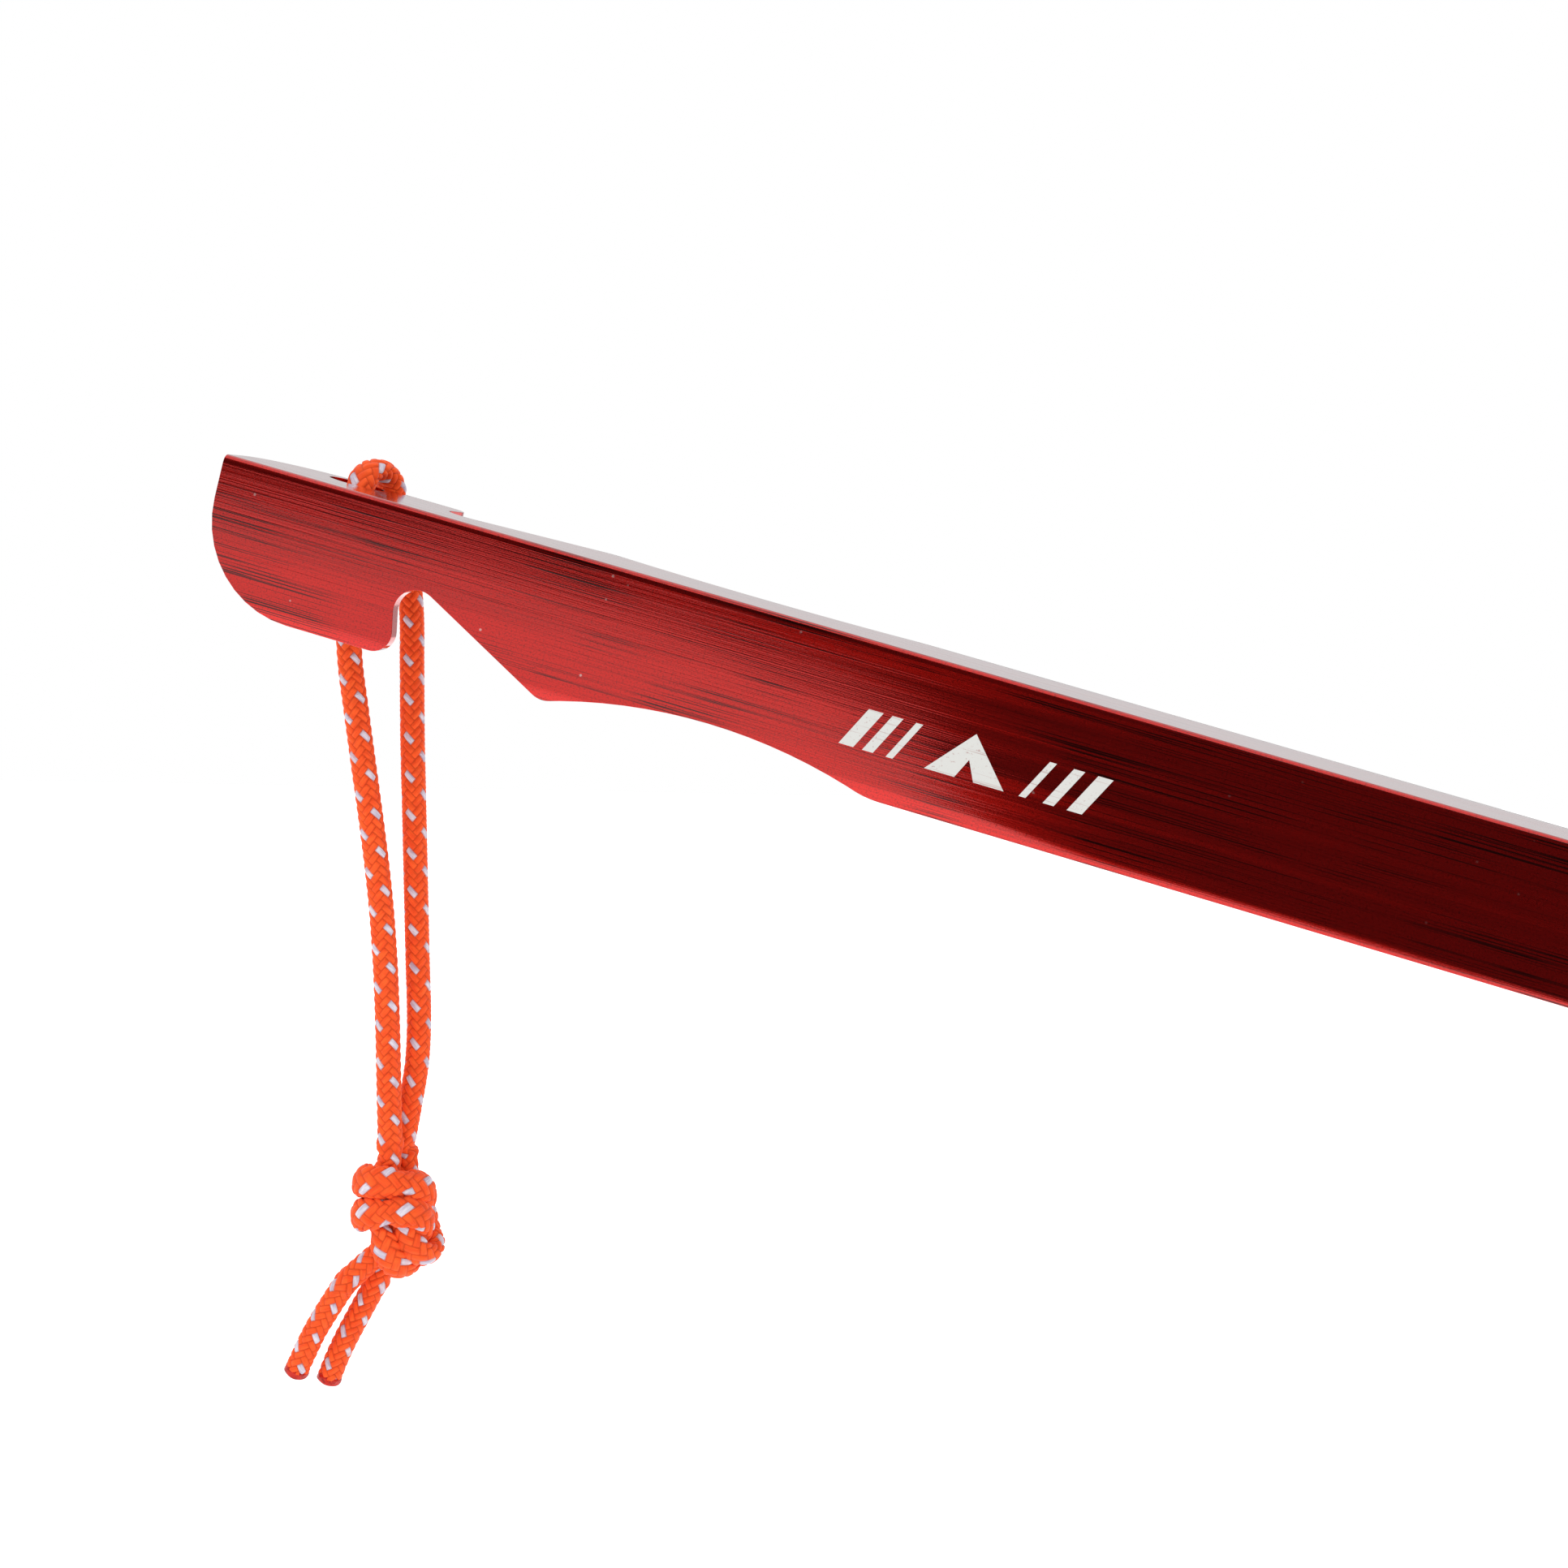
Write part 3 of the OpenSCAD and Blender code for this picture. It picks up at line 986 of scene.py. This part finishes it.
@dataclass(frozen=True)
class PullCord:
    """The whole pull loop: one braided cord and its two sealed ends."""

    route: CordRoute = CordRoute()
    braid: Braid = Braid()
    cap: MeltedEnd = MeltedEnd()
    bend_start: Point = (-0.0951, 0.0144, 0.0239)
    bend_end: Point = (-0.0951, 0.0144, 0.0209)
    mouth_mm: float = 22.0
    aim: int = 4

    def build(self) -> None:
        """Builds the cord and its ends, hangs the ends on the pull loop and hides the CAD nodes that
        they stand for.
        """
        line = self.route.centreline()
        sheath = self.braid.build("pull_cord", line)
        finish_piece(sheath, BraidedPolyester().make())
        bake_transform(sheath)
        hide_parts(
            "cord_bight", "strand_inner", "strand_outer", "knot", "tail_front", "tail_rear"
        )
        glassy = MeltedPolyester().make()
        ends = (("front", line[0], line[self.aim]), ("rear", line[-1], line[-1 - self.aim]))
        for name, end, back in ends:
            cap = self.cap.build("sealed_end_" + name, end, end - back)
            finish_piece(cap, glassy)
            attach(cap, Body.LOOP.value)
            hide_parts("melted_end_" + name)


# ---------------------------------------------------------------- stake and mark


@dataclass(frozen=True)
class Stake:
    """The extruded stake, from its CAD mesh, with its cut edges broken."""

    edge_mm: float = 0.5
    edge_steps: int = 4
    sharp_deg: float = 35.0
    flat_deg: float = 0.6
    merge_mm: float = 0.001

    def build(self) -> None:
        """Builds the stake, hangs it on the stake body and hides the CAD node that it stands for."""
        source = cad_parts["stake_body"]
        obj = bpy.data.objects.new("stake_metal", source.data.copy())
        bpy.context.scene.collection.objects.link(obj)
        work = bmesh.new()
        work.from_mesh(obj.data)
        bmesh.ops.remove_doubles(work, verts=work.verts, dist=self.merge_mm * MM)
        flat = math.radians(self.flat_deg)
        bmesh.ops.dissolve_limit(work, angle_limit=flat, verts=work.verts, edges=work.edges)
        work.to_mesh(obj.data)
        work.free()
        obj.data.polygons.foreach_set("use_smooth", [True] * len(obj.data.polygons))
        bevel = obj.modifiers.new("broken_edges", "BEVEL")
        bevel.width = self.edge_mm * MM
        bevel.segments = self.edge_steps
        bevel.angle_limit = math.radians(self.sharp_deg)
        bevel.use_clamp_overlap = True
        shade = obj.modifiers.new("flat_faces", "WEIGHTED_NORMAL")
        shade.keep_sharp = True
        finish_piece(obj, AnodisedRed().make())
        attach(obj, Body.STAKE.value)
        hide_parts("stake_body")


@dataclass(frozen=True)
class PrintedMark:
    """The plain tent mark on the front flange."""

    node: str = "printed_mark"

    def build(self) -> None:
        """Gives the CAD node its ink."""
        dress(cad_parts[self.node], WhiteInk().make())


# ---------------------------------------------------------------- studio


@dataclass(frozen=True)
class Studio:
    """White surroundings, a pale floor and the cards that the metal mirrors.

    The dark card stands in front, where the shaft mirrors it, and its lower edge draws the border
    between the dark shaft and the bright head. The grey card behind gives the pale strip along
    the spine.
    """

    floor_z: float = -0.16
    floor_half: float = 1.5
    floor_glow: float = 0.35
    dark_y: float = -0.26
    dark_outline: tuple[Span, ...] = (
        (-0.4, 0.6), (-0.4, 0.075), (-0.215, 0.0315), (-0.1886, 0.0255), (-0.166, 0.0195),
        (-0.1168, 0.0036), (-0.0852, -0.0093), (-0.0705, -0.0185), (-0.058, -0.04),
        (-0.049, -0.09), (0.25, -0.2), (0.6, -0.25), (0.6, 0.6),
    )
    dark_glow: float = 0.11
    grey_y: float = 0.7
    grey_outline: tuple[Span, ...] = ((-1.2, -0.4), (1.2, -0.4), (1.2, 0.8), (-1.2, 0.8))
    grey_glow: float = 0.9
    sky: float = 1.0
    key_place: Point = (-0.45, -0.35, 0.55)
    key_size: float = 0.4
    key_watts: float = 1.0

    def build(self) -> None:
        """Builds the floor, the cards, the light and the surroundings."""
        half, z = self.floor_half, self.floor_z
        corners = np.array([(-half, -half, z), (half, -half, z), (half, half, z), (-half, half, z)])
        floor = new_mesh("floor", corners, [(0, 1, 2, 3)])
        dress(floor, StudioPaint("pale_studio_floor", "#FAFAFA", "#FFFFFF", self.floor_glow).make())
        dark = StudioPaint("dark_studio_card", "#000000", "#F08080", self.dark_glow)
        grey = StudioPaint("grey_studio_card", "#000000", "#DCDADB", self.grey_glow)
        self.card("dark_card", self.dark_outline, self.dark_y, dark)
        self.card("grey_card", self.grey_outline, self.grey_y, grey)
        world = bpy.data.worlds.new("studio")
        world.use_nodes = True
        back = world.node_tree.nodes["Background"]
        back.inputs["Color"].default_value = linear("#FFFFFF")
        back.inputs["Strength"].default_value = self.sky
        bpy.context.scene.world = world
        self.key_light()

    def card(self, name: str, outline: Sequence[Span], y: float, paint: StudioPaint) -> None:
        """Stands up a card that only reflections see.

        Args:
            name: Name of the card.
            outline: Its corners, across and up.
            y: Where it stands.
            paint: Its finish.
        """
        corners = np.array([(x, y, z) for x, z in outline])
        card = new_mesh(name, corners, [tuple(range(len(corners)))])
        dress(card, paint.make())
        card.visible_camera = False
        card.visible_shadow = False
        card.visible_diffuse = False

    def key_light(self) -> None:
        """Adds one soft square light, aimed at the object."""
        data = bpy.data.lights.new("key", "AREA")
        data.size = self.key_size
        data.energy = self.key_watts
        lamp = bpy.data.objects.new("key", data)
        lamp.location = self.key_place
        lamp.rotation_euler = (-Vector(self.key_place)).to_track_quat("-Z", "Y").to_euler()
        bpy.context.scene.collection.objects.link(lamp)


def main() -> None:
    """Builds the whole scene."""
    logging.basicConfig(level=logging.INFO)
    CameraView().make()
    PullCord().build()
    Stake().build()
    PrintedMark().build()
    Studio().build()
    bpy.context.scene.view_settings.view_transform = "Standard"


if __name__ == "__main__":
    main()
